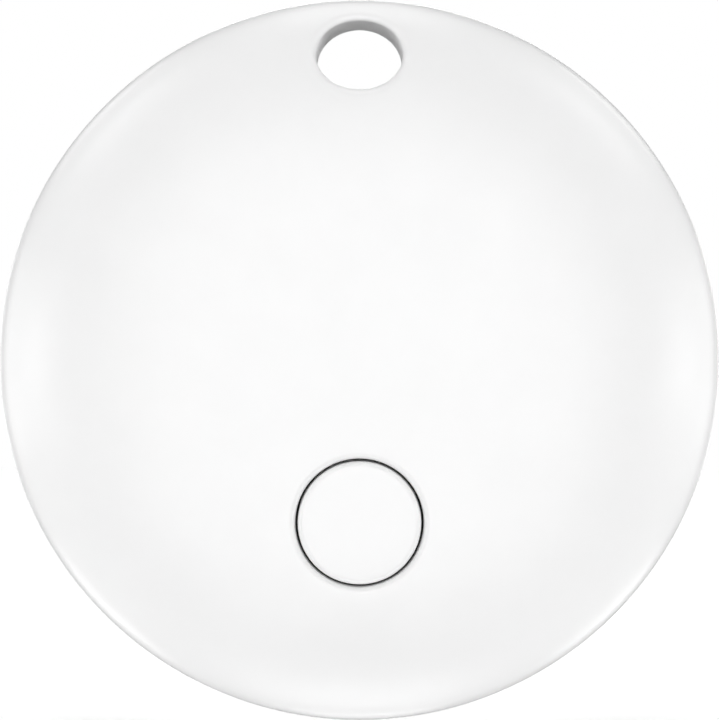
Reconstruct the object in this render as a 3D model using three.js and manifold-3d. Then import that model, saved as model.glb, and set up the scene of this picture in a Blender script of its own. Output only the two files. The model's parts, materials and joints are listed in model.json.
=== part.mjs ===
// A round key-finder tag: two welded plastic shells round a coin cell, a circuit board and a piezo sounder,
// with a push button in the face, an oval eyelet for a key ring and a quarter-turn battery door in the back.
//
// Every piece is drawn with the tag lying on its back: +Z points out of the face, +Y towards the eyelet.
// The last line of the assembly stands it upright, so that the face looks along -Y and the eyelet is on top.
// Units are millimetres. The origin is the middle of the tag.

import * as THREE from "three";
import { mergeVertices } from "three/addons/utils/BufferGeometryUtils.js";
import Module from "manifold-3d";

const wasm = await Module();
wasm.setup();

// ---- Driving dimensions -------------------------------------------------------------------------

const RADIUS = 19;
const THICKNESS = 8;
const WALL = 1.1;
const GAP = 0.02; // between pieces that touch on the real tag
const ROUND = 48; // facets round the case

const FACE_Z = THICKNESS / 2;
const BACK_Z = -THICKNESS / 2;
const SPLIT_Z = -0.4; // where the two shells meet
const FACE_POWER = 3.2; // how flat the middle of the face is
const BACK_POWER = 2.5;
const BACK_FLAT_RADIUS = 13.4;
const INNER_RADIUS = RADIUS - 1.3;
const LIP = { inner: 16.5, outer: 17.1, back: -2.6, front: 0.3 }; // locates one shell in the other

const EYELET = { y: 15.85, halfWidth: 2.27, halfHeight: 1.86, wall: 1.0 };
const EYELET_END_Y = 13.2; // where the eyelet end of each shell starts

const BUTTON = { y: -8.35, radius: 3.17, bore: 3.3, flange: 3.95, foot: 1.75, flangeHeight: 0.3 };
const BUTTON_POCKET = { radius: 2.55, floor: 2.85 };
const BUTTON_NUB = { radius: 0.95, tip: 2.13 };
const BUTTON_WELL = { radius: 4.7, back: 1.6, front: 2.9, seat: 2.45 };

const BOARD = { radius: 15.5, back: 0.75, front: 1.35 };

const CELL = { radius: 10, back: -2.92, height: 3.2 };
const PAD_RADIUS = 8;
const CELL_FRONT_Z = CELL.back + CELL.height;

const DOOR = { face: BACK_Z + 0.05, plate: 0.9, flange: 12.2, body: 10.8, lug: 11.45, turn: 35 };
const LUG = { back: -2.9, front: -2.45, halfAngle: 14 };
const LEDGE = { back: -3.45, front: -2.95, radius: 10.95 };
const BAY_RADIUS = 11.6;
const BAY_WALL_RADIUS = 13.1;
const LUG_ANGLES = [90, 210, 330];

const COIN_SLOT = { halfLength: 3.8, halfWidth: 0.9, depth: 0.5 };

const SEAL_GROOVE = { inner: 11.8, outer: 12.25, floor: -3.05 };

const PIEZO = { y: 4.2, plate: 6, ceramic: 4.4, front: 2.5, thickness: 0.2, ceramicThickness: 0.14 };
const PIEZO_SEAT = { inner: 5.1, outer: 6.3, front: 3 };

const SCREW = { orbit: 13.6, shank: 0.5, head: 1.25, tip: 2.42, angles: [45, 135, 225, 315] };
const POST = { radius: 1.3, front: 2.6, pilotFront: 2.5 }; // the front shell's screw posts
const SCREW_HOLE_RADIUS = 0.75;

// ---- Helpers ------------------------------------------------------------------------------------

const radians = THREE.MathUtils.degToRad;

// A closed geometry as a manifold-3d solid.
function solid(geometry) {
  const bare = geometry.clone();
  bare.deleteAttribute("normal");
  bare.deleteAttribute("uv");
  const merged = mergeVertices(bare, 1e-4);
  return new wasm.Manifold(new wasm.Mesh({
    numProp: 3,
    vertProperties: merged.attributes.position.array,
    triVerts: new Uint32Array(merged.index.array),
  }));
}

// A manifold-3d solid as a flat-shaded geometry.
function geometryOf(made) {
  const mesh = made.getMesh();
  const geometry = new THREE.BufferGeometry();
  geometry.setAttribute("position", new THREE.BufferAttribute(mesh.vertProperties, 3));
  geometry.setIndex(new THREE.BufferAttribute(mesh.triVerts, 1));
  const flat = geometry.toNonIndexed();
  flat.computeVertexNormals();
  return flat;
}

const join = (base, ...others) => others.reduce((sum, other) => sum.add(other), base);
const cut = (base, ...tools) => tools.reduce((rest, tool) => rest.subtract(tool), base);

// Turns a profile of [radius, z] points round the Z axis. The points run clockwise, with the radius to
// the right and z upwards, and they start and end on the axis or close on themselves.
function turned(profile, segments = ROUND) {
  const points = profile.map(([r, z]) => new THREE.Vector2(r, z));
  points.reverse();
  return solid(new THREE.LatheGeometry(points, segments).rotateX(Math.PI / 2));
}

// A ring of rectangular section, or a disc when its inner radius is 0.
function ring(inner, outer, back, front, segments = ROUND) {
  const edge = [[inner, front], [outer, front], [outer, back], [inner, back]];
  return turned(inner > 0 ? [...edge, edge[0]] : edge, segments);
}

const disc = (radius, back, front, segments = ROUND) => ring(0, radius, back, front, segments);

const prism = (shape, back, front, curveSegments = 6) => solid(
  new THREE.ExtrudeGeometry(shape, { depth: front - back, bevelEnabled: false, curveSegments })
    .translate(0, 0, back),
);

function block(width, height, back, front, x = 0, y = 0) {
  const shape = new THREE.BoxGeometry(width, height, front - back);
  return solid(shape.translate(x, y, (back + front) / 2));
}

// A block whose four upright edges and front edges are bevelled, as a moulded or cut chip is.
function chip(width, height, back, front, x, y, bevel = 0.08) {
  const half = [width / 2 - bevel, height / 2 - bevel];
  const outline = new THREE.Shape();
  outline.moveTo(-half[0], -half[1]);
  outline.lineTo(half[0], -half[1]);
  outline.lineTo(half[0], half[1]);
  outline.lineTo(-half[0], half[1]);
  outline.closePath();
  const depth = front - back - 2 * bevel;
  const geometry = new THREE.ExtrudeGeometry(outline, {
    depth, bevelSize: bevel, bevelThickness: bevel, bevelSegments: 1, steps: 1,
  });
  return solid(geometry.translate(x, y, back + bevel));
}

function ellipse(halfWidth, halfHeight, back, front, y) {
  const shape = new THREE.Shape().absellipse(0, y, halfWidth, halfHeight, 0, 2 * Math.PI);
  return prism(shape, back, front, 16);
}

// Part of a ring, between two angles in degrees.
function sector(inner, outer, back, front, from, to) {
  const shape = new THREE.Shape();
  shape.absarc(0, 0, outer, radians(from), radians(to), false);
  shape.absarc(0, 0, inner, radians(to), radians(from), true);
  return prism(shape, back, front, 3);
}

// A bent strip of sheet metal: its middle line in the XZ plane, given a thickness, and a width along Y.
function strip(line, thickness, width) {
  const points = line.map(([x, z]) => new THREE.Vector2(x, z));
  const normals = points.map((point, i) => {
    const before = points[Math.max(i - 1, 0)];
    const after = points[Math.min(i + 1, points.length - 1)];
    const along = after.clone().sub(before).normalize();
    return new THREE.Vector2(-along.y, along.x).multiplyScalar(thickness / 2);
  });
  const upper = points.map((point, i) => point.clone().add(normals[i]));
  const lower = points.map((point, i) => point.clone().sub(normals[i]));
  const shape = new THREE.Shape([...upper, ...lower.reverse()]);
  const flat = new THREE.ExtrudeGeometry(shape, { depth: width, bevelEnabled: false });
  return solid(flat.translate(0, 0, -width / 2).rotateX(Math.PI / 2));
}

// A round wire through points, with its ends cut square.
function wire(points, radius) {
  const path = new THREE.CatmullRomCurve3(points.map((p) => new THREE.Vector3(...p)));
  const section = new THREE.Shape().absarc(0, 0, radius, 0, 2 * Math.PI);
  return new THREE.ExtrudeGeometry(section, { extrudePath: path, steps: 14, curveSegments: 4 });
}

const orbit = (made, radius, degrees) =>
  made.translate([radius * Math.cos(radians(degrees)), radius * Math.sin(radians(degrees)), 0]);

const atScrews = (made) => SCREW.angles.map((angle) => orbit(made, SCREW.orbit, angle));

// ---- Case ---------------------------------------------------------------------------------------

// The domed half of the case: a superellipse from the axis down to the joint line.
function domeProfile(radius, rise, steps = 10) {
  return Array.from({ length: steps + 1 }, (_, i) => {
    const angle = (i / steps) * (Math.PI / 2);
    const r = radius * Math.sin(angle) ** (2 / FACE_POWER);
    return [i === steps ? radius : r, SPLIT_Z + rise * Math.cos(angle)];
  });
}

// The back's rounded edge, from its flat out to the joint line.
function edgeProfile(flat, radius, rise, steps = 7) {
  return Array.from({ length: steps + 1 }, (_, i) => {
    const angle = (i / steps) * (Math.PI / 2);
    const r = flat + (radius - flat) * Math.sin(angle) ** (2 / BACK_POWER);
    return [i === steps ? radius : r, SPLIT_Z - rise * Math.cos(angle)];
  });
}

function frontCover() {
  const outer = domeProfile(RADIUS, FACE_Z - SPLIT_Z);
  const inner = domeProfile(INNER_RADIUS, FACE_Z - SPLIT_Z - WALL, 6);
  const shell = turned([...outer, ...inner.reverse()]);
  const filled = turned([...outer, [0, SPLIT_Z]]);
  const { y, halfWidth, halfHeight, wall } = EYELET;
  const eyelet = ellipse(halfWidth + wall, halfHeight + wall, SPLIT_Z, FACE_Z, y).intersect(filled);

  const atButton = (made) => made.translate([0, BUTTON.y, 0]);
  const well = atButton(disc(BUTTON_WELL.radius, BUTTON_WELL.back, BUTTON_WELL.front, 32));
  const { inner: seatIn, outer: seatOut, front: seatFront } = PIEZO_SEAT;
  const piezoSeat = ring(seatIn, seatOut, PIEZO.front + GAP, seatFront, 32).translate([0, PIEZO.y, 0]);
  const posts = atScrews(disc(POST.radius, BOARD.front + GAP, POST.front, 12));

  const button = atButton(disc(BUTTON.bore, 0, FACE_Z + 1, 40));
  const flangeRoom = atButton(disc(BUTTON.flange + 0.1, 1, BUTTON_WELL.seat, 32));
  const pilots = atScrews(disc(SCREW.shank + 0.05, 1, POST.pilotFront, 12));
  const hole = ellipse(halfWidth, halfHeight, BACK_Z, FACE_Z + 1, y);
  return cut(join(shell, eyelet, well, piezoSeat, ...posts), button, flangeRoom, hole, ...pilots);
}

function rearCover() {
  const floor = BACK_Z + WALL;
  const outer = edgeProfile(BACK_FLAT_RADIUS, RADIUS, SPLIT_Z - BACK_Z);
  const inner = edgeProfile(BACK_FLAT_RADIUS, INNER_RADIUS, SPLIT_Z - floor, 4);
  const mouth = DOOR.flange + 0.15;
  const { inner: grooveIn, outer: grooveOut, floor: grooveFloor } = SEAL_GROOVE;
  const shell = turned([
    [mouth, BACK_Z],
    [mouth, LEDGE.back],
    [grooveOut, LEDGE.back],
    [grooveOut, grooveFloor],
    [grooveIn, grooveFloor],
    [grooveIn, LEDGE.back],
    [LEDGE.radius, LEDGE.back],
    [LEDGE.radius, LEDGE.front],
    [BAY_RADIUS, LEDGE.front],
    [BAY_RADIUS, -1],
    [BAY_WALL_RADIUS, -1],
    [BAY_WALL_RADIUS, floor],
    ...inner,
    ...outer.reverse(),
    [mouth, BACK_Z],
  ]);
  const filled = turned([[0, SPLIT_Z], ...outer, [0, BACK_Z]]);
  const { y, halfWidth, halfHeight, wall } = EYELET;
  const eyelet = ellipse(halfWidth + wall, halfHeight + wall, BACK_Z, SPLIT_Z - GAP, y).intersect(filled);

  // The lip stops short of the front shell's eyelet.
  const lip = ring(LIP.inner, LIP.outer, LIP.back, LIP.front);
  const lipGap = ellipse(halfWidth + wall + 0.2, halfHeight + wall + 0.2, SPLIT_Z - GAP, 1, y);

  // The door's lugs enter through the notches, turn behind the ledge and end at the stops.
  const notches = LUG_ANGLES.map((a) => sector(
    LEDGE.radius - 0.5, DOOR.lug + 0.12, LEDGE.back - 0.1, LEDGE.front + 0.1,
    a - DOOR.turn - LUG.halfAngle - 1.5, a - DOOR.turn + LUG.halfAngle + 1.5,
  ));
  const stops = LUG_ANGLES.map((a) => sector(
    LEDGE.radius, BAY_RADIUS + 0.2, LEDGE.front - 0.1, LUG.front,
    a + LUG.halfAngle + 0.6, a + 120 - DOOR.turn - LUG.halfAngle - 2,
  ));
  const hole = ellipse(halfWidth, halfHeight, BACK_Z - 1, FACE_Z, y);
  const rim = ring(INNER_RADIUS - 3, RADIUS + 1, SPLIT_Z - GAP, SPLIT_Z + 0.01);
  const body = cut(join(shell, eyelet, ...stops), ...notches, rim);
  return cut(join(body, cut(lip, lipGap)), hole);
}

// Each shell is one moulding. It is drawn as two nodes, divided by a straight gap below the eyelet, so that
// the hulls of the wide hollow part can't reach across the eyelet.
const pastLine = (y) => block(3 * RADIUS, RADIUS, BACK_Z - 1, FACE_Z + 1, 0, y + RADIUS / 2);
const mainPart = (shell) => shell.subtract(pastLine(EYELET_END_Y - GAP / 2));
const eyeletEnd = (shell) => shell.intersect(pastLine(EYELET_END_Y + GAP / 2));

// ---- Battery door -------------------------------------------------------------------------------

function batteryDoor() {
  const inside = DOOR.face + DOOR.plate;
  const chamfer = 0.12;
  const plate = turned([
    [0, inside],
    [CELL.radius + 0.25, inside],
    [CELL.radius + 0.25, LUG.front],
    [DOOR.body, LUG.front],
    [DOOR.body, LEDGE.back - 0.05],
    [DOOR.flange, LEDGE.back - 0.05],
    [DOOR.flange, DOOR.face + chamfer],
    [DOOR.flange - chamfer, DOOR.face],
    [0, DOOR.face],
  ]);
  const lugs = LUG_ANGLES.map((a) => sector(
    DOOR.body - 0.1, DOOR.lug, LUG.back, LUG.front, a - LUG.halfAngle, a + LUG.halfAngle,
  ));
  const { halfLength, halfWidth, depth } = COIN_SLOT;
  const outline = new THREE.Shape();
  outline.absarc(halfLength, 0, halfWidth, -Math.PI / 2, Math.PI / 2, false);
  outline.absarc(-halfLength, 0, halfWidth, Math.PI / 2, (3 * Math.PI) / 2, false);
  const coinSlot = prism(outline, DOOR.face - 1, DOOR.face + depth, 5);
  return cut(join(plate, ...lugs), coinSlot);
}

function doorSeal() {
  const { inner, outer, floor } = SEAL_GROOVE;
  const thickness = (outer - inner) / 2 - 0.035;
  const middle = (LEDGE.back + floor) / 2;
  const torus = new THREE.TorusGeometry((inner + outer) / 2, thickness, 6, ROUND);
  return solid(torus.translate(0, 0, middle));
}

const cellPad = () => disc(PAD_RADIUS, DOOR.face + DOOR.plate + GAP, CELL.back - GAP, 36);

// ---- Coin cell ----------------------------------------------------------------------------------

const CELL_RIM_Z = CELL_FRONT_Z - 0.22;
const CELL_CAP = { radius: 8.75, foot: CELL_FRONT_Z - 0.6 };

function cellCan() {
  const { radius, back } = CELL;
  return turned([
    [0, CELL_CAP.foot - GAP],
    [9.3, CELL_CAP.foot - GAP],
    [9.3, CELL_RIM_Z - 0.12],
    [9.2, CELL_RIM_Z],
    [9.7, CELL_RIM_Z],
    [radius, CELL_RIM_Z - 0.3],
    [radius, back + 0.25],
    [radius - 0.25, back],
    [0, back],
  ]);
}

function cellCap() {
  const { radius, foot } = CELL_CAP;
  return turned([
    [0, CELL_FRONT_Z],
    [radius - 0.5, CELL_FRONT_Z],
    [radius - 0.25, CELL_FRONT_Z - 0.06],
    [radius - 0.1, CELL_FRONT_Z - 0.22],
    [radius, CELL_FRONT_Z - 0.3],
    [radius, foot],
    [0, foot],
  ]);
}

const cellGasket = () => ring(CELL_CAP.radius + GAP, 9.18, CELL_CAP.foot + GAP, CELL_RIM_Z + 0.02);

// ---- Frame, contacts and screws -----------------------------------------------------------------

function batteryCradle() {
  const top = BOARD.back - GAP;
  const bottom = LUG.front + 0.1;
  const barrel = ring(CELL.radius + 0.2, BAY_RADIUS - 0.15, bottom, top);
  const tabBack = top - 0.6;
  const reach = SCREW.orbit - CELL.radius - 0.7;
  const tabs = SCREW.angles.map((a) => join(
    disc(1.5, tabBack, top, 16).translate([SCREW.orbit, 0, 0]),
    block(reach, 2.4, tabBack, top, SCREW.orbit - reach / 2),
  ).rotate([0, 0, a]));
  const holes = atScrews(disc(SCREW_HOLE_RADIUS, tabBack - 1, top + 1, 12));
  const contactSlot = block(3, 3.2, -1.9, top + 1, -CELL.radius - 0.9);
  return cut(join(barrel, ...tabs), contactSlot, ...holes);
}

// The positive contact hangs from the board beside the cell, and its bend presses on the can.
function positiveContact() {
  const side = -CELL.radius;
  const foot = BOARD.back - 0.1;
  return strip([
    [side - 3, foot],
    [side - 1.3, foot],
    [side - 1.05, foot - 0.12],
    [side - 0.95, foot - 0.4],
    [side - 0.13, -1],
    [side - 0.13, -1.25],
    [side - 0.5, -1.7],
  ], 0.16, 2.5);
}

// The negative contact is a leaf soldered to the board's middle, with an arm each way down to the cell.
function negativeContact() {
  const flat = BOARD.back - 0.09;
  const touch = CELL_FRONT_Z + 0.09;
  const half = [[1.4, flat], [2, flat - 0.03], [4.3, touch], [4.7, touch], [5.3, touch + 0.12]];
  const left = half.map(([x, z]) => [-x, z]).reverse();
  return strip([...left, ...half], 0.12, 2.6);
}

function screw(degrees) {
  const seat = BOARD.back - GAP - 0.6 - GAP;
  const headHeight = 0.5;
  const body = turned([
    [0, SCREW.tip],
    [SCREW.shank - 0.2, SCREW.tip],
    [SCREW.shank, SCREW.tip - 0.22],
    [SCREW.shank, seat],
    [SCREW.head, seat],
    [SCREW.head, seat - headHeight + 0.18],
    [SCREW.head - 0.3, seat - headHeight],
    [0, seat - headHeight],
  ], 12);
  const bar = (w, h) => block(w, h, seat - headHeight - 1, seat - headHeight + 0.28);
  return orbit(cut(body, bar(1.3, 0.28), bar(0.28, 1.3)), SCREW.orbit, degrees);
}

// ---- Circuit board and its parts ----------------------------------------------------------------

function circuitBoard() {
  const { halfWidth, halfHeight, wall, y } = EYELET;
  const notch = ellipse(halfWidth + wall + 0.4, halfHeight + wall + 0.4, 0, 2, y);
  const shoulder = block(2 * (halfWidth + wall + 0.4), 4, 0, 2, 0, y + 2);
  const holes = atScrews(disc(SCREW_HOLE_RADIUS, 0, 2, 12));
  return cut(disc(BOARD.radius, BOARD.back, BOARD.front), notch, shoulder, ...holes);
}

// Parts soldered to the board's front: width, height, how tall it stands, and its place.
const FRONT_PARTS = {
  bluetooth_chip: { size: [5, 5, 0.74], at: [-9.6, -1], look: "package" },
  crystal_fast: { size: [2, 1.6, 0.5], at: [-9.4, 3.4], look: "canned" },
  crystal_slow: { size: [3.2, 1.5, 0.7], at: [-8.6, -5.4], look: "canned" },
  boost_inductor: { size: [2.5, 2.5, 1], at: [8.8, -1.2], look: "ferrite" },
  bulk_capacitor: { size: [3.2, 1.6, 1], at: [8.9, 2], look: "capacitor" },
  capacitor_1: { size: [1, 0.5, 0.45], at: [-5.6, -1.6], look: "capacitor" },
  capacitor_2: { size: [1, 0.5, 0.45], at: [-5.6, -3], look: "capacitor" },
  capacitor_3: { size: [0.5, 1, 0.45], at: [-11.6, 3.4], look: "capacitor" },
  capacitor_4: { size: [1, 0.5, 0.45], at: [-6, 1], look: "capacitor" },
  resistor_1: { size: [1, 0.5, 0.35], at: [6, -4.6], look: "resistor" },
  resistor_2: { size: [1, 0.5, 0.35], at: [6, -3.4], look: "resistor" },
};

function frontPart({ size: [width, height, tall], at: [x, y] }) {
  const foot = BOARD.front + GAP;
  return chip(width, height, foot, foot + tall, x, y, Math.min(0.08, tall / 6));
}

const chipAntenna = () =>
  chip(3.2, 1.6, BOARD.back - GAP - 1.1, BOARD.back - GAP, 0, -14.3, 0.08);

// ---- Button and switch --------------------------------------------------------------------------

function buttonCap() {
  const dome = turned([...domeProfile(RADIUS, FACE_Z - SPLIT_Z, 15), [0, SPLIT_Z]]);
  const at = (made) => made.translate([0, BUTTON.y, 0]);
  const { foot, flangeHeight } = BUTTON;
  const plug = at(disc(BUTTON.radius, foot, FACE_Z + 1, 40)).intersect(dome);
  const flange = at(disc(BUTTON.flange, foot, foot + flangeHeight, 40));
  const pocket = at(disc(BUTTON_POCKET.radius, 0, BUTTON_POCKET.floor, 24));
  const nub = at(disc(BUTTON_NUB.radius, BUTTON_NUB.tip, BUTTON_POCKET.floor + 0.05, 16));
  return join(cut(join(plug, flange), pocket), nub);
}

function buttonSeal() {
  const back = BUTTON.foot + BUTTON.flangeHeight + GAP;
  return ring(BUTTON.radius + 0.05, BUTTON.flange - 0.05, back, BUTTON_WELL.seat - GAP, 40)
    .translate([0, BUTTON.y, 0]);
}

const SWITCH = { width: 3, height: 2.6, foot: BOARD.front + GAP, top: 1.8, well: 1.1, floor: 1.42 };

function switchBase() {
  const { width, height, foot, top, well, floor } = SWITCH;
  return cut(chip(width, height, foot, top, 0, 0, 0.06), disc(well, floor, 3, 16))
    .translate([0, BUTTON.y, 0]);
}

// The sheet-metal cover: a plate over the base with a tab down each side.
function switchShell() {
  const { width, height, top } = SWITCH;
  const plate = block(width + 0.24, height - 0.5, top + GAP, top + GAP + 0.08);
  const tab = (side) => block(0.08, height - 1.2, SWITCH.foot + 0.05, top + GAP + 0.08,
    side * (width / 2 + 0.08));
  return cut(join(plate, tab(-1), tab(1)), disc(0.78, top, 3, 16)).translate([0, BUTTON.y, 0]);
}

// The snap dome under the plunger, a thin cap that is flattened when the button is pressed.
function switchDome() {
  const { floor } = SWITCH;
  return turned([
    [0, floor + 0.2],
    [0.4, floor + 0.18],
    [0.75, floor + 0.11],
    [1, floor + 0.07],
    [1, floor + 0.01],
    [0.7, floor + 0.05],
    [0.4, floor + 0.12],
    [0, floor + 0.14],
  ], 16).translate([0, BUTTON.y, 0]);
}

function switchPlunger() {
  const { floor } = SWITCH;
  return join(disc(1, floor + 0.22, floor + 0.3, 16), disc(0.7, floor + 0.25, 2.1, 16))
    .translate([0, BUTTON.y, 0]);
}

// ---- Sounder ------------------------------------------------------------------------------------

const PLATE_BACK_Z = PIEZO.front - PIEZO.thickness;
const CERAMIC_BACK_Z = PLATE_BACK_Z - GAP - PIEZO.ceramicThickness;

const piezoPlate = () => disc(PIEZO.plate, PLATE_BACK_Z, PIEZO.front, 36).translate([0, PIEZO.y, 0]);

const piezoCeramic = () =>
  disc(PIEZO.ceramic, CERAMIC_BACK_Z, PLATE_BACK_Z - GAP, 36).translate([0, PIEZO.y, 0]);

const WIRE_RADIUS = 0.16;
const WIRE_BOARD_Z = BOARD.front + GAP + WIRE_RADIUS;

// From the ceramic's middle out to a pad on the board.
function redWire() {
  const under = CERAMIC_BACK_Z - GAP - WIRE_RADIUS;
  return wire([
    [1.2, 4.6, under],
    [3.2, 5.4, under - 0.04],
    [5.4, 6.2, under - 0.16],
    [7, 6.2, WIRE_BOARD_Z + 0.1],
    [8.4, 5.4, WIRE_BOARD_Z + 0.01],
  ], WIRE_RADIUS);
}

// From the brass plate's edge out to a pad on the board.
function blackWire() {
  const under = PLATE_BACK_Z - GAP - WIRE_RADIUS;
  return wire([
    [5, 2.8, under],
    [5.6, 1.8, under - 0.05],
    [6, 0.8, under - 0.3],
    [6.3, -0.2, WIRE_BOARD_Z + 0.1],
    [6.3, -1.4, WIRE_BOARD_Z + 0.01],
  ], WIRE_RADIUS);
}

// ---- Materials ----------------------------------------------------------------------------------

const finish = (color, roughness, metalness = 0) =>
  new THREE.MeshStandardMaterial({ color, roughness, metalness });

const MATERIALS = {
  whitePlastic: finish(0xf7f7f6, 0.32),
  frame: finish(0x2b2d30, 0.6),
  seal: finish(0x1b1b1c, 0.75),
  foam: finish(0x3a3a3c, 0.95),
  steel: finish(0xc9cbce, 0.3, 1),
  spring: finish(0xd8c48a, 0.3, 1),
  brass: finish(0xd0a850, 0.35, 1),
  ceramic: finish(0xe6e2d6, 0.5),
  board: finish(0x14532f, 0.45),
  package: finish(0x1d1e20, 0.55),
  canned: finish(0xd5d6d8, 0.3, 1),
  ferrite: finish(0x4a4b4e, 0.7),
  capacitor: finish(0x9a7350, 0.5),
  resistor: finish(0x16171a, 0.5),
  antenna: finish(0xe9e9e4, 0.5),
  gasket: finish(0xf0e9d8, 0.6),
  wireRed: finish(0xb3261e, 0.5),
  wireBlack: finish(0x1a1a1a, 0.5),
};

// ---- Assembly -----------------------------------------------------------------------------------

const tag = new THREE.Group();

function place(name, made, material) {
  const geometry = made.isBufferGeometry ? made : geometryOf(made);
  const mesh = new THREE.Mesh(geometry, MATERIALS[material]);
  mesh.name = name;
  tag.add(mesh);
}

const front = frontCover();
const rear = rearCover();
place("front_cover", mainPart(front), "whitePlastic");
place("front_cover_eyelet", eyeletEnd(front), "whitePlastic");
place("rear_cover", mainPart(rear), "whitePlastic");
place("rear_cover_eyelet", eyeletEnd(rear), "whitePlastic");
place("button_cap", buttonCap(), "whitePlastic");
place("button_seal", buttonSeal(), "seal");
place("battery_door", batteryDoor(), "whitePlastic");
place("door_seal", doorSeal(), "seal");
place("cell_pad", cellPad(), "foam");
place("cell_can", cellCan(), "steel");
place("cell_cap", cellCap(), "steel");
place("cell_gasket", cellGasket(), "gasket");
place("battery_cradle", batteryCradle(), "frame");
place("positive_contact", positiveContact(), "spring");
place("negative_contact", negativeContact(), "spring");
place("circuit_board", circuitBoard(), "board");
place("chip_antenna", chipAntenna(), "antenna");
place("switch_base", switchBase(), "package");
place("switch_shell", switchShell(), "steel");
place("switch_dome", switchDome(), "steel");
place("switch_plunger", switchPlunger(), "package");
place("piezo_plate", piezoPlate(), "brass");
place("piezo_ceramic", piezoCeramic(), "ceramic");
place("piezo_wire_red", redWire(), "wireRed");
place("piezo_wire_black", blackWire(), "wireBlack");
for (const [name, part] of Object.entries(FRONT_PARTS)) place(name, frontPart(part), part.look);
SCREW.angles.forEach((angle, i) => place(`board_screw_${i + 1}`, screw(angle), "steel"));

tag.rotation.x = Math.PI / 2;

export default tag;
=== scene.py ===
"""A round white key-finder tag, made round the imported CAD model.

The tag stands upright: its face looks along -Y and its eyelet is on top. The outer pieces are made here
with their rounded edges and moulding details, and so is the switch's snap dome. The other pieces inside keep
their CAD meshes and get their materials here. Shapes are worked out in face coordinates in millimetres: u to
the right, v up, and w out of the face.
"""

import json
import math

import bmesh
import bpy
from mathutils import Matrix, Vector
from mathutils.geometry import delaunay_2d_cdt


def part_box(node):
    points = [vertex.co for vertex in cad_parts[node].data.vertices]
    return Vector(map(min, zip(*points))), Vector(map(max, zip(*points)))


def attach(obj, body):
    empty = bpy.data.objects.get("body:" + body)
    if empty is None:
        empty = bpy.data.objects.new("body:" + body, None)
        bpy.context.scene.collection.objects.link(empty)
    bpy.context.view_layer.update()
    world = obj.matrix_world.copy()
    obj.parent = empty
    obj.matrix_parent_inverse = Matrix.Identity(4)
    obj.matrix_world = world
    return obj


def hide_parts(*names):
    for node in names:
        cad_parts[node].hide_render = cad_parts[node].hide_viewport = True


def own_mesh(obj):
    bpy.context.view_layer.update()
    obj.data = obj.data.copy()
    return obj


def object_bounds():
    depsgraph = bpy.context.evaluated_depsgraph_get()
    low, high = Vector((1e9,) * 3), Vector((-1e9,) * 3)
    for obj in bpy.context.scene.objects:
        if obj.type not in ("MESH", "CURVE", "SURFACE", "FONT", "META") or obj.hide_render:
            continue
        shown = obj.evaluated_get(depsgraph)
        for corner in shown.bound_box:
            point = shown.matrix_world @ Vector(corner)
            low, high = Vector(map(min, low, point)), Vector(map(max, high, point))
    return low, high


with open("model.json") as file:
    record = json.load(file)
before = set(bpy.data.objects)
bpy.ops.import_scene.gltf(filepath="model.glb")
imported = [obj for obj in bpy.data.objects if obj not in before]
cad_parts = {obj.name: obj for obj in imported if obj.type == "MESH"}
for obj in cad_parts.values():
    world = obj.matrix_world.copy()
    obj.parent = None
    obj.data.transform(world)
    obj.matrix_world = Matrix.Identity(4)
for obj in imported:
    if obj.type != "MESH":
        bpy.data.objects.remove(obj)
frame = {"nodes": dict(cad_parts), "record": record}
cad_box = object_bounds()

# ---- Dimensions ---------------------------------------------------------------------------------

# Millimetres and degrees. FACE, SPLIT, BACK, LEDGE, BUTTON_SEAT and the names that end in _FACE, _BACK, _TOP
# or _FOOT are levels along w.

MM = 0.001
X, Y, Z = 0, 1, 2


def span(node, axis):
    """Lowest and highest coordinate of a CAD node along one axis, in millimetres."""
    low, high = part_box(node)
    return low[axis] / MM, high[axis] / MM


RADIUS = span("front_cover", X)[1]
FACE = -span("front_cover", Y)[0]
SPLIT = -span("front_cover", Y)[1]
BACK = -span("rear_cover", Y)[1]
LIP_TOP = -span("rear_cover", Y)[0]
FACE_POWER = 3.2
BACK_POWER = 2.5
BACK_FLAT = 13.4
WALL = 1.1
INNER_RADIUS = RADIUS - 1.3
SEAM = 0.09  # rounding of each shell's edge at the joint line
RIM_START = 18.5  # inside this radius the shells are triangulated in plan, outside it they are turned
OVERSHOOT = 1  # how far a cutting solid runs past the face it cuts
OVERLAP = 0.1  # the same where there is little room, and how far joined solids run into each other
SLIVER = 0.02  # how far a cut starts before a face, so that no skin is left on it

SCREW_CIRCLE = 13.6
SCREW_ANGLES = (45, 135, 225, 315)
POST_RADIUS = 1.3
POST_FOOT = 1.37
PILOT_RADIUS = 0.55
PILOT_FOOT = 1
PILOT_TOP = 2.5
AROUND_POST = 48
AROUND_PILOT = 32

SOUNDER_V = 4.2
SOUNDER_SEAT = (5.1, 6.3)
SOUNDER_SEAT_BACK = 2.52

LIP = (16.5, 17.1)
LIP_FOOT = -2.6
LIP_PLAY = 0.2
LIP_TO_HOLE = 0.3

EYELET_V = 15.85
EYELET_HALF = (2.27, 1.86)
EYELET_WALL = 1.0
EYELET_ROUND = 0.5

BUTTON_V = sum(span("button_cap", Z)) / 2
BUTTON_FOOT = -span("button_cap", Y)[1]
BUTTON_FLANGE = span("button_cap", X)[1]
BUTTON_RADIUS = 3.17
BUTTON_BORE = 3.3
BUTTON_ROUND = 0.3
BORE_ROUND = 0.36
BUTTON_SEAT = 2.45
BUTTON_CROWN = (0.4, 0.8, 1.2, 1.6, 2.0, 2.4, 2.7)  # radii of the rings on the button's face
FLANGE_HEIGHT = 0.3
FLANGE_PLAY = 0.1
WELL_WALL = 0.75
WELL_BACK = 1.6
POCKET_RADIUS = 2.55
POCKET_TOP = 2.85
NUB_RADIUS = 0.95
NUB_FOOT = 2.13

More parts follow.
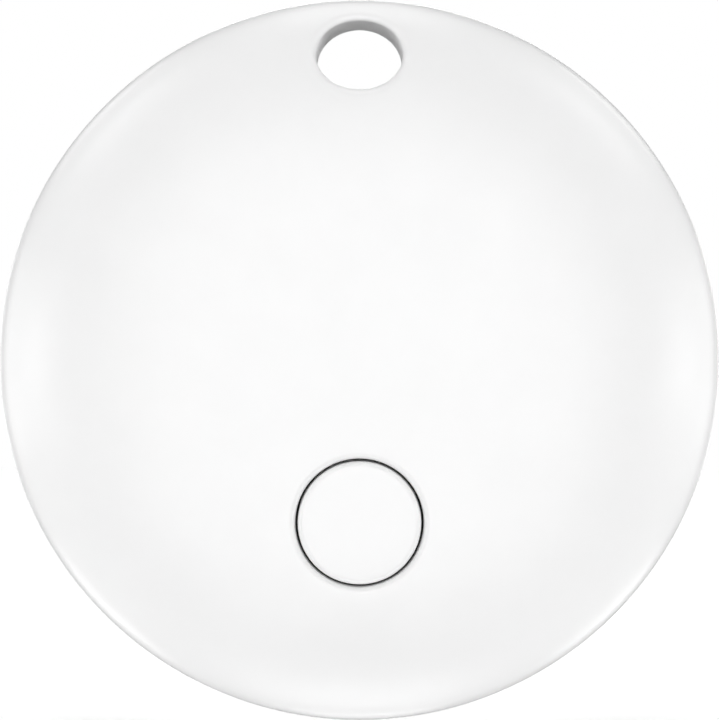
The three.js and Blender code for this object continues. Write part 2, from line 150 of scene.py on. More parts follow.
MARK_RADIUS = 0.42  # of the dots that show where the door is locked and free
MARK_DEPTH = 0.25
MARK_ROUND = 0.07
AROUND_MARK = 40
SHELL_MARKS = 14.15  # distance from the tag's axis
DOOR_MARK = 11.1

DOME_SHEET = 0.06
DOME_STEPS = 12
AROUND_DOME = 64

DOOR_FACE = -span("battery_door", Y)[1]
DOOR_TOP = -span("battery_door", Y)[0]
DOOR_RADIUS = span("battery_door", X)[1]
DOOR_ROUND = 0.16
DOOR_TURN = 35
DOOR_BODY = 10.8
CELL_ROOM = 10.25
MOUTH = DOOR_RADIUS + 0.15
LEDGE = (-3.45, -2.95)
LEDGE_RADIUS = 10.95
BAY_RADIUS = 11.6
BAY_WALL = 13.1
FLOOR_RING = BAY_WALL - 1  # a ring of the room's floor, hidden in the bay's wall
LUG_ANGLES = (90, 210, 330)
LUG_SPACING = 120
LUG_HALF_ANGLE = 14
LUG_BACK = -2.9
LUG_RADIUS = 11.45
LUG_PLAY = 0.12
LUG_PLAY_ANGLE = 1.5
STOP_PLAY_ANGLES = (0.6, 2)  # past a locked lug and before the next notch
BAY_TOP = -1
SEAL_GROOVE = (11.8, 12.25)
SEAL_GROOVE_TOP = -3.05
SHOULDER_PLAY = 0.05
DOOR_SKIN = 0.9
COIN_SLOT = {"half_length": 3.8, "half_width": 0.9, "rounding": 0.09, "depth": 0.5}

AROUND = 256  # points round the tag's outer rings
AROUND_INSIDE = 128  # points round the walls inside, and round the button
AROUND_SMALL = 96  # points round the smaller openings and the floor
PROFILE_STEPS = 24  # along the curved part of a shell's inner face
SEAM_STEPS = 4
BUTTON_STEPS = 8
DOOR_STEPS = 6
STEP = 0.5  # length of a triangle's side on the flatter parts
HOLE_MARGIN = 0.45  # of a step, kept free of points round a hole
RIM_MARGIN = 0.6  # of a step, kept free of points along the outer ring
SAME_POINT = 1e-7  # points closer than this are one
SHARP_EDGE = 28  # degrees, the least angle between two faces that stays a sharp edge


# ---- Outlines in the plane of the face ----------------------------------------------------------


def turns(count):
    return [2 * math.pi * i / count for i in range(count)]


def circle(radius, count=AROUND, u=0.0, v=0.0):
    return [(u + radius * math.cos(t), v + radius * math.sin(t)) for t in turns(count)]


def eyelet_outline(offset, count=AROUND_SMALL):
    """The eyelet's oval, moved out from its wall by offset."""
    a, b = EYELET_HALF
    points = []
    for t in turns(count):
        along = Vector((b * math.cos(t), a * math.sin(t))).normalized()
        points.append((a * math.cos(t) + offset * along.x, EYELET_V + b * math.sin(t) + offset * along.y))
    return points


def round_outline(radius, u=0.0, v=0.0, count=AROUND_SMALL):
    """Gives the outline function of a round opening."""
    return lambda offset: circle(radius + offset, count, u, v)


def slot_outline(half_length, half_width, count=28):
    """Gives the outline function of a slot with round ends."""

    def outline(offset):
        r = half_width + offset
        ends = []
        for side, start in ((1, -math.pi / 2), (-1, math.pi / 2)):
            arc = [start + math.pi * i / count for i in range(count + 1)]
            ends += [(side * half_length + r * math.cos(t), r * math.sin(t)) for t in arc]
        return ends

    return outline


def inside(point, loop):
    """Whether a point lies inside a closed loop."""
    u, v = point
    hit = False
    for (u0, v0), (u1, v1) in zip(loop, loop[1:] + loop[:1]):
        if (v0 > v) != (v1 > v) and u < u0 + (v - v0) * (u1 - u0) / (v1 - v0):
            hit = not hit
    return hit


# ---- Surfaces -----------------------------------------------------------------------------------


def face_height(u, v):
    """The domed face."""
    r = min(math.hypot(u, v), RADIUS)
    rise = FACE - SPLIT - SEAM
    return SPLIT + SEAM + rise * math.sqrt(max(0.0, 1 - (r / RADIUS) ** FACE_POWER))


def back_height(u, v):
    """The back: flat in the middle, with a rounded edge."""
    r = min(math.hypot(u, v), RADIUS)
    if r <= BACK_FLAT:
        return BACK
    part = (r - BACK_FLAT) / (RADIUS - BACK_FLAT)
    return SPLIT - SEAM - (SPLIT - SEAM - BACK) * math.sqrt(max(0.0, 1 - part**BACK_POWER))


class Skin:
    """The vertices and faces of one closed piece. inward is -1 if the shaped side looks out of the face."""

    def __init__(self, height, inward):
        self.height = height
        self.inward = inward
        self.points = []
        self.faces = []

    def ring(self, loop, level=None, drop=0.0):
        """Adds a ring of points, at one level or a drop below the shaped surface."""
        start = len(self.points)
        for u, v in loop:
            w = self.height(u, v) + self.inward * drop if level is None else level
            self.points.append((u, v, w))
        return list(range(start, len(self.points)))

    def band(self, a, b):
        """Joins two rings of the same length with four-sided faces."""
        for i, j in zip(range(len(a)), [*range(1, len(a)), 0]):
            self.faces.append((a[i], a[j], b[j], b[i]))

    def stack(self, rings):
        for a, b in zip(rings, rings[1:]):
            self.band(a, b)
        return rings[-1]

    def rounded_edge(self, outline, rounding, steps, side=1):
        """Rings over a rounded edge, from the shaped surface to a wall along the outline.

        side is 1 if the surface lies outside the outline, and -1 if it lies inside.
        """
        rings = []
        for i in range(steps + 1):
            t = math.pi / 2 * i / steps
            offset = side * rounding * (1 - math.sin(t))
            rings.append(self.ring(outline(offset), drop=rounding * (1 - math.cos(t))))
        return rings

    def opening(self, outline, rounding, bottom, steps=8):
        """A wall down from the shaped surface, with a rounded edge. Gives its top and bottom rings."""
        rings = self.rounded_edge(outline, rounding, steps)
        rings.append(self.ring(outline(0), level=bottom))
        self.stack(rings)
        return rings[0], rings[-1]

    def hollow(self, outline, rounding, depth, steps=5):
        """A shallow blind recess with a rounded edge and a rounded floor corner. Gives its top ring."""
        rings = self.rounded_edge(outline, rounding, steps)
        for i in range(steps + 1):
            t = math.pi / 2 * i / steps
            inwards = rounding * (1 - math.cos(t))
            rings.append(self.ring(outline(-inwards), drop=depth - rounding * (1 - math.sin(t))))
        self.stack(rings)
        self.faces.append(tuple(rings[-1]))
        return rings[0]

    def loop_of(self, ring):
        return [self.points[i][:2] for i in ring]

    def patch(self, outer, holes, level=None):
        """Fills the plan between an outer ring and the rings of its holes with triangles."""
        loops = [self.loop_of(ring) for ring in [outer, *holes]]
        fill = fill_points(*loops) if level is None else []
        border = [i for ring in [outer, *holes] for i in ring]
        flat = [Vector(p) for loop in loops for p in loop] + [Vector(p) for p in fill]
        edges = []
        start = 0
        for loop in loops:
            edges += [(start + i, start + (i + 1) % len(loop)) for i in range(len(loop))]
            start += len(loop)
        made, _, triangles, origin, _, _ = delaunay_2d_cdt(flat, edges, [], 0, SAME_POINT)
        first = len(self.points)
        self.points += [(u, v, self.height(u, v) if level is None else level) for u, v in fill]
        index = {}
        for k, sources in enumerate(origin):
            source = min(sources)
            index[k] = border[source] if source < len(border) else first + source - len(border)
        for triangle in triangles:
            middle = sum((made[k] for k in triangle), Vector((0, 0))) / 3
            if inside(middle, loops[0]) and not any(inside(middle, loop) for loop in loops[1:]):
                self.faces.append(tuple(index[k] for k in triangle))

    def build(self, name):
        """The finished mesh object, in metres in the CAD frame."""
        mesh = bpy.data.meshes.new(name)
        mesh.from_pydata([(u * MM, -w * MM, v * MM) for u, v, w in self.points], [], self.faces)
        work = bmesh.new()
        work.from_mesh(mesh)
        bmesh.ops.recalc_face_normals(work, faces=work.faces)
        work.to_mesh(mesh)
        work.free()
        made = bpy.data.objects.new(name, mesh)
        bpy.context.scene.collection.objects.link(made)
        return made


def grown(loop, margin):
    """A loop moved outwards by a margin."""
    middle = Vector((sum(u for u, _ in loop), sum(v for _, v in loop))) / len(loop)
    out = []
    for before, here, after in zip(loop[-1:] + loop[:-1], loop, loop[1:] + loop[:1]):
        along = Vector(after) - Vector(before)
        normal = Vector((along.y, -along.x)).normalized()
        if normal.dot(Vector(here) - middle) < 0:
            normal = -normal
        out.append((here[0] + margin * normal.x, here[1] + margin * normal.y))
    return out


def fill_points(outer, *holes):
    """Evenly spread points inside an outer loop, clear of the loops of its holes."""
    reach = max(math.hypot(u, v) for u, v in outer)
    rows = int(reach / STEP)
    guards = [grown(loop, HOLE_MARGIN * STEP) for loop in holes]
    limit = reach - RIM_MARGIN * STEP
    fill = []
    for i in range(rows + 1):
        r = limit * i / rows
        count = max(1, round(2 * math.pi * r / STEP))
        fill += [p for p in circle(r, count) if not any(inside(p, guard) for guard in guards)]
    return fill


def flat_skin():
    return Skin(lambda u, v: 0.0, -1)


def prism(outline, low, high):
    """A plain upright solid, used to cut or join."""
    skin = flat_skin()
    rings = [skin.ring(outline, level=low), skin.ring(outline, level=high)]
    skin.stack(rings)
    skin.faces += [tuple(rings[0]), tuple(rings[1])]
    return skin.build("tool")


def turned(profile, count=AROUND, v=0.0):
    """A solid turned round an axis out of the face, from (radius, level) points that start and end on it."""
    skin = flat_skin()
    rings = [skin.ring(circle(r, count, v=v), level=w) for r, w in profile if r > 0]
    skin.stack(rings)
    for ring, (r, w) in ((rings[0], profile[0]), (rings[-1], profile[-1])):
        pole = len(skin.points)
        skin.points.append((0.0, v, w))
        skin.faces += [(ring[i - 1], ring[i], pole) for i in range(len(ring))]
    return skin.build("tool")


def tube(inner, outer, low, high, v=0.0, count=AROUND):
    """A ring of rectangular section."""
    skin = flat_skin()
    corners = [(inner, low), (inner, high), (outer, high), (outer, low)]
    rings = [skin.ring(circle(r, count, v=v), level=w) for r, w in corners]
    skin.stack(rings)
    skin.band(rings[-1], rings[0])
    return skin.build("tool")


def sector(inner, outer, low, high, start, end, steps=16):
    """Part of a ring between two angles in degrees."""
    arc = [math.radians(start + (end - start) * i / steps) for i in range(steps + 1)]
    outline = [(outer * math.cos(t), outer * math.sin(t)) for t in arc]
    outline += [(inner * math.cos(t), inner * math.sin(t)) for t in reversed(arc)]
    return prism(outline, low, high)


def combine(base, operation, *tools):
    """Joins tools to a piece, or cuts them out of it, and removes the tools."""
    for tool in tools:
        step = base.modifiers.new("combine", "BOOLEAN")
        step.operation = operation
        step.solver = "MANIFOLD"
        step.object = tool
        graph = bpy.context.evaluated_depsgraph_get()
        result = bpy.data.meshes.new_from_object(base.evaluated_get(graph))
        base.modifiers.clear()
        old = base.data
        base.data = result
        bpy.data.meshes.remove(old)
        spent = tool.data
        bpy.data.objects.remove(tool)
        bpy.data.meshes.remove(spent)
    return base


def polar(radius, degrees):
    return radius * math.cos(math.radians(degrees)), radius * math.sin(math.radians(degrees))


# ---- Materials ----------------------------------------------------------------------------------


class Finish:
    """A procedural material, with short calls for the nodes that the finishes share."""

    def __init__(self, name, metallic=0.0, **values):
        self.material = bpy.data.materials.new(name)
        self.material.use_nodes = True
        self.nodes = self.material.node_tree.nodes
        self.links = self.material.node_tree.links
        self.shader = self.nodes["Principled BSDF"]
        self.place = self.nodes.new("ShaderNodeTexCoord").outputs["Object"]
        self.shader.inputs["Metallic"].default_value = metallic
        for key, value in values.items():
            self.shader.inputs[key.replace("_", " ")].default_value = value

    def noise(self, per_mm, detail=3.0, roughness=0.5):
        """Noise with so many features to a millimetre."""
        node = self.nodes.new("ShaderNodeTexNoise")
        node.inputs["Scale"].default_value = per_mm / MM
        node.inputs["Detail"].default_value = detail
        node.inputs["Roughness"].default_value = roughness
        self.links.new(self.place, node.inputs["Vector"])
        return node.outputs["Fac"]

    def between(self, source, low, high, spread=0.15):
        """Maps the middle of a noise to a range of values."""
        node = self.nodes.new("ShaderNodeMapRange")
        node.inputs["From Min"].default_value = 0.5 - spread
        node.inputs["From Max"].default_value = 0.5 + spread
        node.inputs["To Min"].default_value = low
        node.inputs["To Max"].default_value = high
        self.links.new(source, node.inputs["Value"])
        return node.outputs["Result"]

    def colour(self, source, low, high):
        """Base colour between two colours."""
        node = self.nodes.new("ShaderNodeMix")
        node.data_type = "RGBA"
        node.inputs["A"].default_value = (*low, 1)
        node.inputs["B"].default_value = (*high, 1)
        self.links.new(self.between(source, 0, 1), node.inputs["Factor"])
        self.links.new(node.outputs["Result"], self.shader.inputs["Base Color"])

    def roughness(self, source, low, high):
        self.links.new(self.between(source, low, high), self.shader.inputs["Roughness"])

    def bump(self, source, height_mm, strength=1.0):
        node = self.nodes.new("ShaderNodeBump")
        node.inputs["Distance"].default_value = height_mm * MM
        node.inputs["Strength"].default_value = strength
        self.links.new(source, node.inputs["Height"])
        self.links.new(node.outputs["Normal"], self.shader.inputs["Normal"])


def white_plastic(name, tint):
    """Glossy white moulded plastic with a faint orange peel and a fine grain."""
    finish = Finish(name, IOR=1.5)
    low = tuple(0.985 * c for c in tint)
    finish.colour(finish.noise(0.25), low, tint)
    finish.roughness(finish.noise(1.2), 0.3, 0.36)
    finish.bump(finish.noise(7, detail=2), 0.0012)
    return finish.material


def moulded(name, low, high, rough=(0.45, 0.6), grain=12):
    finish = Finish(name)
    finish.colour(finish.noise(1.5), low, high)
    finish.roughness(finish.noise(3), *rough)
    finish.bump(finish.noise(grain), 0.006)
    return finish.material


def metal(name, low, high, rough=(0.22, 0.34), grain=10):
    finish = Finish(name, metallic=1.0)
    finish.colour(finish.noise(0.8), low, high)
    finish.roughness(finish.noise(4), *rough)
    finish.bump(finish.noise(grain), 0.002)
    return finish.material


def grey(value):
    return (value, value, value)


FINISHES = {
    "white_plastic": white_plastic("white_plastic", (0.93, 0.93, 0.93)),
    "button_plastic": white_plastic("button_plastic", (0.93, 0.93, 0.93)),
    "door_plastic": white_plastic("door_plastic", (0.92, 0.92, 0.92)),
    "dark_frame": moulded("dark_frame", (0.04, 0.041, 0.044), (0.055, 0.057, 0.06)),
    # The button's seal, seen down the narrow gap round the cap, is near black so that the gap reads dark:
    # partly the seal's own colour, partly painted shade of the gap.
    "silicone": moulded("silicone", grey(0.012), grey(0.02), rough=(0.55, 0.7)),
    "foam": moulded("foam", grey(0.03), grey(0.06), rough=(0.85, 0.95), grain=8),
    "cell_steel": metal("cell_steel", (0.6, 0.61, 0.62), (0.68, 0.69, 0.7)),
    "cell_seal": moulded("cell_seal", (0.8, 0.76, 0.64), (0.88, 0.84, 0.72)),
    "plated_steel": metal("plated_steel", (0.62, 0.63, 0.64), (0.7, 0.71, 0.72)),
    "contact_metal": metal("contact_metal", (0.68, 0.56, 0.33), (0.76, 0.64, 0.4)),
    "sounder_brass": metal("sounder_brass", (0.66, 0.45, 0.15), (0.74, 0.52, 0.2)),
    "ceramic": moulded("ceramic", (0.78, 0.75, 0.66), (0.85, 0.82, 0.74)),
    "board": moulded("board", (0.015, 0.12, 0.05), (0.025, 0.16, 0.07), rough=(0.3, 0.4)),
    "chip_package": moulded("chip_package", grey(0.018), grey(0.026)),
    "crystal_can": metal("crystal_can", (0.62, 0.63, 0.64), (0.7, 0.71, 0.72)),
    "ferrite": moulded("ferrite", grey(0.07), grey(0.11), rough=(0.6, 0.75)),
    "capacitor_body": moulded("capacitor_body", (0.32, 0.18, 0.09), (0.4, 0.23, 0.12)),
    "resistor_body": moulded("resistor_body", grey(0.012), grey(0.02), rough=(0.25, 0.35)),
    "antenna_body": moulded("antenna_body", (0.76, 0.76, 0.73), (0.84, 0.84, 0.81)),
    "red_insulation": moulded("red_insulation", (0.45, 0.02, 0.015), (0.55, 0.035, 0.025)),
    "black_insulation": moulded("black_insulation", grey(0.01), grey(0.016)),
}


# ---- Pieces -------------------------------------------------------------------------------------

SLOT_OF = {part["node"]: part["material_slot"] for part in frame["record"]["subparts"]}


def finished(piece, name, node, body):
    """Smooths, paints and names a piece that stands for a CAD node, and mounts it on its body."""
    piece.name = name
    piece.data.name = name
    piece.data.materials.clear()
    piece.data.materials.append(FINISHES[SLOT_OF[node]])
    work = bmesh.new()
    work.from_mesh(piece.data)
    for face in work.faces:
        face.smooth = True
    for edge in work.edges:
        edge.smooth = len(edge.link_faces) == 2 and edge.calc_face_angle(0) < math.radians(SHARP_EDGE)
    work.to_mesh(piece.data)
    work.free()
    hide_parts(*[part for part in (node, f"{node}_eyelet") if part in SLOT_OF])
    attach(piece, body)
    return piece


def rim_rings(skin, power, flat, steps=22):
    """Rings from the edge of the triangulated plan out to the joint line and a little way in under it."""
    start = math.asin(((RIM_START - flat) / (RADIUS - flat)) ** (power / 2))
    rings = []
    for i in range(steps + 1):
        t = start + (math.pi / 2 - start) * i / steps
        rings.append(skin.ring(circle(flat + (RADIUS - flat) * math.sin(t) ** (2 / power))))
    for i in range(1, SEAM_STEPS + 1):
        t = math.pi / 2 * i / SEAM_STEPS
        level = SPLIT - skin.inward * SEAM * (1 - math.sin(t))
        rings.append(skin.ring(circle(RADIUS - SEAM * (1 - math.cos(t))), level=level))
    return rings


def front_cover():
    skin = Skin(face_height, -1)
    rim = rim_rings(skin, FACE_POWER, 0)
    skin.stack(rim)
    eyelet = skin.opening(eyelet_outline, EYELET_ROUND, SPLIT)
    bore_outline = round_outline(BUTTON_BORE, v=BUTTON_V, count=AROUND_INSIDE)
    bore = skin.opening(bore_outline, BORE_ROUND, SPLIT)
    skin.patch(rim[0], [eyelet[0], bore[0]])
    skin.patch(rim[-1], [eyelet[1], bore[1]], level=SPLIT)
    shell = skin.build("front_shell")

    ceiling = FACE - WALL
    profile = [(INNER_RADIUS, SPLIT - OVERSHOOT), (INNER_RADIUS, SPLIT)]
    for i in range(1, PROFILE_STEPS):
        t = math.pi / 2 * (1 - i / PROFILE_STEPS)
        r = INNER_RADIUS * math.sin(t) ** (2 / FACE_POWER)
        profile.append((r, SPLIT + (ceiling - SPLIT) * math.cos(t)))
    room = turned([(0, SPLIT - OVERSHOOT), *profile, (0, ceiling)], AROUND_INSIDE)
    boss = prism(eyelet_outline(EYELET_WALL), SPLIT - 2 * OVERSHOOT, FACE)
    well = prism(circle(BUTTON_FLANGE + WELL_WALL, AROUND_SMALL, v=BUTTON_V), WELL_BACK, FACE)
    seat = tube(*SOUNDER_SEAT, SOUNDER_SEAT_BACK, FACE, v=SOUNDER_V, count=AROUND_SMALL)
    places = [polar(SCREW_CIRCLE, a) for a in SCREW_ANGLES]
    posts = [prism(circle(POST_RADIUS, AROUND_POST, *place), POST_FOOT, FACE) for place in places]
    combine(room, "DIFFERENCE", boss, well, seat, *posts)
    flange_outline = circle(BUTTON_FLANGE + FLANGE_PLAY, AROUND_SMALL, v=BUTTON_V)
    flange_room = prism(flange_outline, SPLIT - OVERSHOOT, BUTTON_SEAT)
    pilots = [prism(circle(PILOT_RADIUS, AROUND_PILOT, *place), PILOT_FOOT, PILOT_TOP) for place in places]
    combine(shell, "DIFFERENCE", room, flange_room, *pilots)
    return finished(shell, "front_shell", "front_cover", "housing")


def index_mark(skin, radius, degrees):
    """A round dimple at a distance and an angle from the tag's axis."""
    outline = round_outline(MARK_RADIUS, *polar(radius, degrees), count=AROUND_MARK)
    return skin.hollow(outline, MARK_ROUND, MARK_DEPTH)


def rear_cover():
    skin = Skin(back_height, 1)
    rim = rim_rings(skin, BACK_POWER, BACK_FLAT)
    skin.stack(rim)
    eyelet = skin.opening(eyelet_outline, EYELET_ROUND, SPLIT)
    mouth = skin.opening(round_outline(MOUTH, count=AROUND), DOOR_ROUND, SPLIT)
    marks = [
        index_mark(skin, SHELL_MARKS, -90),
        index_mark(skin, SHELL_MARKS, -90 - DOOR_TURN),
    ]
    skin.patch(rim[0], [eyelet[0], mouth[0], *marks])
    skin.patch(rim[-1], [eyelet[1], mouth[1]], level=SPLIT)
    shell = skin.build("rear_shell")

    floor = BACK + WALL
    profile = [(INNER_RADIUS, SPLIT + OVERSHOOT), (INNER_RADIUS, SPLIT)]
    for i in range(1, PROFILE_STEPS + 1):
        t = math.pi / 2 * (1 - i / PROFILE_STEPS)
        r = BACK_FLAT + (INNER_RADIUS - BACK_FLAT) * math.sin(t) ** (2 / BACK_POWER)
        profile.append((r, SPLIT - (SPLIT - floor) * math.cos(t)))
    profile += [(FLOOR_RING, floor), (0, floor)]
    room = turned([(0, SPLIT + OVERSHOOT), *profile], AROUND_INSIDE)
    boss = prism(eyelet_outline(EYELET_WALL), BACK, SPLIT + 2 * OVERSHOOT)
    bay = tube(BAY_RADIUS, BAY_WALL, floor - OVERSHOOT, BAY_TOP, count=AROUND_INSIDE)
    combine(room, "DIFFERENCE", boss, bay)
    combine(shell, "DIFFERENCE", room)
    ledge = tube(LEDGE_RADIUS, BAY_WALL - 2 * OVERLAP, *LEDGE, count=AROUND_INSIDE)
    wall = tube(BAY_RADIUS, BAY_WALL, LEDGE[0], BAY_TOP, count=AROUND_INSIDE)
    lip = tube(*LIP, LIP_FOOT, LIP_TOP, count=AROUND_INSIDE)
    lip_gap = prism(eyelet_outline(EYELET_WALL + LIP_PLAY), SPLIT - SLIVER, LIP_TOP + OVERSHOOT)
    lip_hole = prism(eyelet_outline(LIP_TO_HOLE), BACK, LIP_TOP + OVERSHOOT)
    combine(lip, "DIFFERENCE", lip_gap, lip_hole)
    combine(shell, "UNION", wall, ledge, lip)
    notch_half_angle = LUG_HALF_ANGLE + LUG_PLAY_ANGLE
    notches = [
        sector(LEDGE_RADIUS - OVERSHOOT / 2, LUG_RADIUS + LUG_PLAY, LEDGE[0] - OVERLAP, LEDGE[1] + OVERLAP,
               a - DOOR_TURN - notch_half_angle, a - DOOR_TURN + notch_half_angle)
        for a in LUG_ANGLES
    ]
    groove = tube(*SEAL_GROOVE, LEDGE[0] - OVERSHOOT / 2, SEAL_GROOVE_TOP, count=AROUND_INSIDE)
    combine(shell, "DIFFERENCE", *notches, groove)
    past_lug, before_notch = STOP_PLAY_ANGLES
    stops = [
        sector(LEDGE_RADIUS, BAY_RADIUS + 2 * OVERLAP, LEDGE[1] - OVERLAP, DOOR_TOP,
               a + LUG_HALF_ANGLE + past_lug, a + LUG_SPACING - DOOR_TURN - LUG_HALF_ANGLE - before_notch)
        for a in LUG_ANGLES
    ]
    combine(shell, "UNION", *stops)
    return finished(shell, "rear_shell", "rear_cover", "housing")


def button_cap():
    skin = Skin(face_height, -1)
    around = round_outline(0, v=BUTTON_V, count=AROUND_INSIDE)
    side_wall = round_outline(BUTTON_RADIUS, v=BUTTON_V, count=AROUND_INSIDE)
    rings = [skin.ring(around(r)) for r in BUTTON_CROWN]
    rings += skin.rounded_edge(side_wall, BUTTON_ROUND, BUTTON_STEPS, side=-1)
    pole = len(skin.points)
    skin.points.append((0, BUTTON_V, face_height(0, BUTTON_V)))
    skin.faces += [(rings[0][i - 1], rings[0][i], pole) for i in range(AROUND_INSIDE)]
    flange_top = BUTTON_FOOT + FLANGE_HEIGHT
    under = [(BUTTON_RADIUS, flange_top), (BUTTON_FLANGE, flange_top), (BUTTON_FLANGE, BUTTON_FOOT),
             (POCKET_RADIUS, BUTTON_FOOT), (POCKET_RADIUS, POCKET_TOP), (NUB_RADIUS, POCKET_TOP),
             (NUB_RADIUS, NUB_FOOT)]
    rings += [skin.ring(around(r), level=w) for r, w in under]
    skin.stack(rings)
    skin.faces.append(tuple(rings[-1]))
    return finished(skin.build("push_button"), "push_button", "button_cap", "button")


def battery_door():
    skin = Skin(lambda u, v: DOOR_FACE, 1)
    edge = round_outline(DOOR_RADIUS, count=AROUND)
    rings = skin.rounded_edge(edge, DOOR_ROUND, DOOR_STEPS, side=-1)
    shoulder = LEDGE[0] - SHOULDER_PLAY
    under = [(DOOR_RADIUS, shoulder), (DOOR_BODY, shoulder), (DOOR_BODY, DOOR_TOP), (CELL_ROOM, DOOR_TOP),
             (CELL_ROOM, DOOR_FACE + DOOR_SKIN)]
    rings += [skin.ring(circle(r), level=w) for r, w in under]
    skin.stack(rings)
    skin.faces.append(tuple(rings[-1]))
    slot_shape = slot_outline(COIN_SLOT["half_length"], COIN_SLOT["half_width"])
    slot = skin.hollow(slot_shape, COIN_SLOT["rounding"], COIN_SLOT["depth"])
    mark = index_mark(skin, DOOR_MARK, -90)
    skin.patch(rings[0], [slot, mark])
    door = skin.build("battery_hatch")
    lugs = [
        sector(DOOR_BODY - OVERLAP, LUG_RADIUS, LUG_BACK, DOOR_TOP, a - LUG_HALF_ANGLE, a + LUG_HALF_ANGLE)
        for a in LUG_ANGLES
    ]
    combine(door, "UNION", *lugs)
    return finished(door, "battery_hatch", "battery_door", "door")


def switch_dome():
    """The steel snap dome under the button's plunger."""
    rest, top = -span("switch_dome", Y)[1], -span("switch_dome", Y)[0]
    radius = span("switch_dome", X)[1]
    rise = top - rest - DOME_SHEET
    under = []
    for i in range(DOME_STEPS + 1):
        r = radius * i / DOME_STEPS
        under.append((r, rest + rise * (1 + math.cos(math.pi * r / radius)) / 2))
    over = [(r, w + DOME_SHEET) for r, w in reversed(under)]
    sheet = turned([*under, *over], AROUND_DOME, BUTTON_V)
    dome = finished(sheet, "snap_dome", "switch_dome", "housing")
    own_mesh(dome)


front_cover()
rear_cover()
button_cap()
battery_door()
switch_dome()

for name, node in frame["nodes"].items():
    node.data.materials.clear()
    node.data.materials.append(FINISHES[SLOT_OF[name]])


# ---- Camera, lights and floor -------------------------------------------------------------------

CAMERA_DISTANCE = 127.0  # from the joint line
LENS = 120.1


def add_camera():
    data = bpy.data.cameras.new("camera")
    data.lens = LENS
    data.clip_start = 0.01
    camera = bpy.data.objects.new("camera", data)
    camera.location = (0, (-SPLIT - CAMERA_DISTANCE) * MM, 0)
    camera.rotation_euler = (math.pi / 2, 0, 0)
    bpy.context.scene.collection.objects.link(camera)
    bpy.context.scene.camera = camera


LIGHT_DISTANCE = 0.6  # metres, from the middle of the tag

# tilt away from the face's axis and turn round it in degrees, width and height in metres, power in watts.
# A paired light has a twin mirrored left to right.
LIGHTS = {
    "front": {"tilt": 0, "turn": 0, "size": (0.55, 0.55), "power": 2.85, "paired": False},
    "side_front": {"tilt": 60, "turn": 0, "size": (0.22, 0.22), "power": 0.64, "paired": True},
    "side": {"tilt": 90, "turn": 0, "size": (0.36, 0.36), "power": 0.96, "paired": True},
    "side_back": {"tilt": 150, "turn": 0, "size": (0.22, 0.22), "power": 0.38, "paired": True},
    "upper_side": {"tilt": 75, "turn": 45, "size": (0.22, 0.22), "power": 0.4, "paired": True},
    "upper_back": {"tilt": 115, "turn": 45, "size": (0.22, 0.22), "power": 0.32, "paired": True},
    "top": {"tilt": 90, "turn": 90, "size": (0.3, 0.3), "power": 0.74, "paired": False},
    "top_back": {"tilt": 115, "turn": 90, "size": (0.22, 0.22), "power": 0.26, "paired": False},
    "low": {"tilt": 75, "turn": -90, "size": (0.36, 0.36), "power": 1.18, "paired": False},
    "low_back": {"tilt": 115, "turn": -90, "size": (0.22, 0.22), "power": 0.42, "paired": False},
    "back": {"tilt": 160, "turn": 90, "size": (0.22, 0.22), "power": 0.7, "paired": False},
    "lower_back": {"tilt": 108, "turn": -45, "size": (0.22, 0.22), "power": 0.55, "paired": True},
}


def softbox(name, tilt, turn, size, power):
    """A rectangular light that looks at the tag and isn't seen itself."""
    data = bpy.data.lights.new(name, "AREA")
    data.shape = "RECTANGLE"
    data.size, data.size_y = size
    data.energy = power
    light = bpy.data.objects.new(name, data)
    across, up = polar(LIGHT_DISTANCE * math.sin(math.radians(tilt)), turn)
    light.location = (across, -LIGHT_DISTANCE * math.cos(math.radians(tilt)), up)
    light.rotation_euler = (-light.location).to_track_quat("-Z", "Y").to_euler()
    light.visible_camera = False
    bpy.context.scene.collection.objects.link(light)


def add_lights():
    for name, light in LIGHTS.items():
        tilt, turn, size, power = (light[key] for key in ("tilt", "turn", "size", "power"))
        softbox(f"{name}_softbox", tilt, turn, size, power)
        if light["paired"]:
            softbox(f"{name}_softbox_twin", tilt, 180 - turn, size, power)


FLOOR_RADIUS = 1.2  # metres
FLOOR_GAP = 0.02  # millimetres, below the tag
BACKDROP_RADIUS = 2.0
NEAR_GLOW = 0.42  # painted glow of the floor round the tag, where it also takes the lamps' light and the tag's shadow
FLOOR_FADE = (0.06, 0.3)  # metres from the tag, from the near glow to the far one
FAR_GLOW = (0.78, 1.0)  # painted glow of the backdrop and the floor far from the tag: at the sides, and behind the tag
BEHIND = (0.3, 0.9)  # where the far glow rises, as the cosine of the angle to the axis behind the tag
UNSEEN_BY = ("diffuse", "glossy", "transmission", "shadow", "volume_scatter")


def ramp(finish, source, reach, values):
    """Rises smoothly from one value to the other over a range of the source."""
    node = finish.nodes.new("ShaderNodeMapRange")
    node.interpolation_type = "SMOOTHSTEP"
    node.inputs["From Min"].default_value, node.inputs["From Max"].default_value = reach
    node.inputs["To Min"].default_value, node.inputs["To Max"].default_value = values
    finish.links.new(source, node.inputs["Value"])
    return node.outputs["Result"]


def far_glow(finish):
    """The strength of a far surface's painted glow, which depends only on the direction from the tag and is
    brightest behind it.
    """
    direction = finish.nodes.new("ShaderNodeVectorMath")
    direction.operation = "NORMALIZE"
    finish.links.new(finish.place, direction.inputs[0])
    parts = finish.nodes.new("ShaderNodeSeparateXYZ")
    finish.links.new(direction.outputs["Vector"], parts.inputs["Vector"])
    return ramp(finish, parts.outputs["Y"], BEHIND, FAR_GLOW)


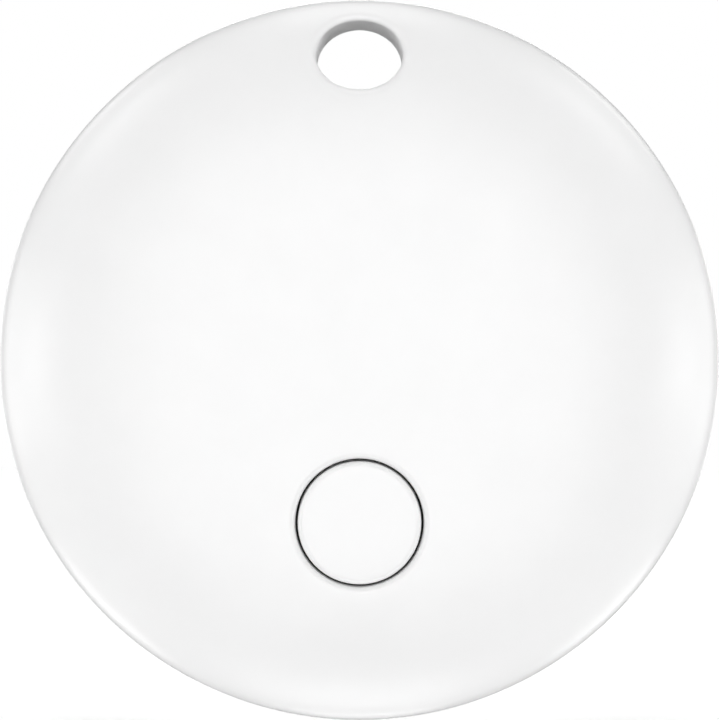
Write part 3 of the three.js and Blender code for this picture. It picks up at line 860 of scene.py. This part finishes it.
def floor_paper_and_painted_glow():
    """Near the tag, matte pale paper lit by the lamps with an even painted glow added; far from it, no paper
    colour, only a painted glow that is brightest behind the tag.
    """
    finish = Finish("floor_paper_and_painted_glow", Specular_IOR_Level=0, Emission_Color=(1, 1, 1, 1))
    finish.colour(finish.noise(0.05), grey(0.88), grey(0.9))
    finish.roughness(finish.noise(0.5), 0.7, 0.8)
    away = finish.nodes.new("ShaderNodeVectorMath")
    away.operation = "LENGTH"
    finish.links.new(finish.place, away.inputs[0])
    far = ramp(finish, away.outputs["Value"], FLOOR_FADE, (0, 1))
    strength = finish.nodes.new("ShaderNodeMix")
    strength.inputs["A"].default_value = NEAR_GLOW
    finish.links.new(far_glow(finish), strength.inputs["B"])
    finish.links.new(far, strength.inputs["Factor"])
    finish.links.new(strength.outputs["Result"], finish.shader.inputs["Emission Strength"])
    # far from the tag the paper's colour fades to black, so only the painted glow is left
    shade = finish.nodes.new("ShaderNodeMix")
    shade.data_type = "RGBA"
    colour = finish.shader.inputs["Base Color"]
    finish.links.new(colour.links[0].from_socket, shade.inputs["A"])
    shade.inputs["B"].default_value = (0, 0, 0, 1)
    finish.links.new(far, shade.inputs["Factor"])
    finish.links.new(shade.outputs["Result"], colour)
    return finish.material


# The backdrop has no colour of its own: its brightness is all painted glow.
def backdrop_painted_glow():
    finish = Finish("backdrop_painted_glow", Specular_IOR_Level=0, Emission_Color=(1, 1, 1, 1))
    finish.shader.inputs["Base Color"].default_value = (0, 0, 0, 1)
    finish.links.new(far_glow(finish), finish.shader.inputs["Emission Strength"])
    return finish.material


def add_set_piece(name, mesh, material):
    """Adds a piece of the set that only the camera sees."""
    piece = bpy.data.objects.new(name, mesh)
    mesh.materials.append(material)
    for ray in UNSEEN_BY:
        setattr(piece, f"visible_{ray}", False)
    bpy.context.scene.collection.objects.link(piece)


def add_floor():
    """A round sheet just under the tag. It sends no light to the tag and blocks no lamp below it."""
    mesh = bpy.data.meshes.new("floor")
    level = cad_box[0].z - FLOOR_GAP * MM
    rim = [(x, y, level) for x, y in circle(FLOOR_RADIUS, AROUND_SMALL)]
    mesh.from_pydata(rim, [], [tuple(range(len(rim)))])
    add_set_piece("floor", mesh, floor_paper_and_painted_glow())


def add_backdrop():
    """A sphere round the set with a painted glow, white behind the tag and light grey elsewhere. It lights
    nothing.
    """
    mesh = bpy.data.meshes.new("backdrop")
    work = bmesh.new()
    bmesh.ops.create_icosphere(work, subdivisions=4, radius=BACKDROP_RADIUS)
    work.to_mesh(mesh)
    work.free()
    add_set_piece("backdrop", mesh, backdrop_painted_glow())


def add_world():
    """No light comes from outside the backdrop."""
    world = bpy.data.worlds.new("studio")
    world.use_nodes = True
    background = world.node_tree.nodes["Background"]
    background.inputs["Color"].default_value = (1, 1, 1, 1)
    background.inputs["Strength"].default_value = 0.0
    bpy.context.scene.world = world


add_camera()
add_lights()
add_floor()
add_backdrop()
add_world()
bpy.context.scene.view_settings.view_transform = "Standard"
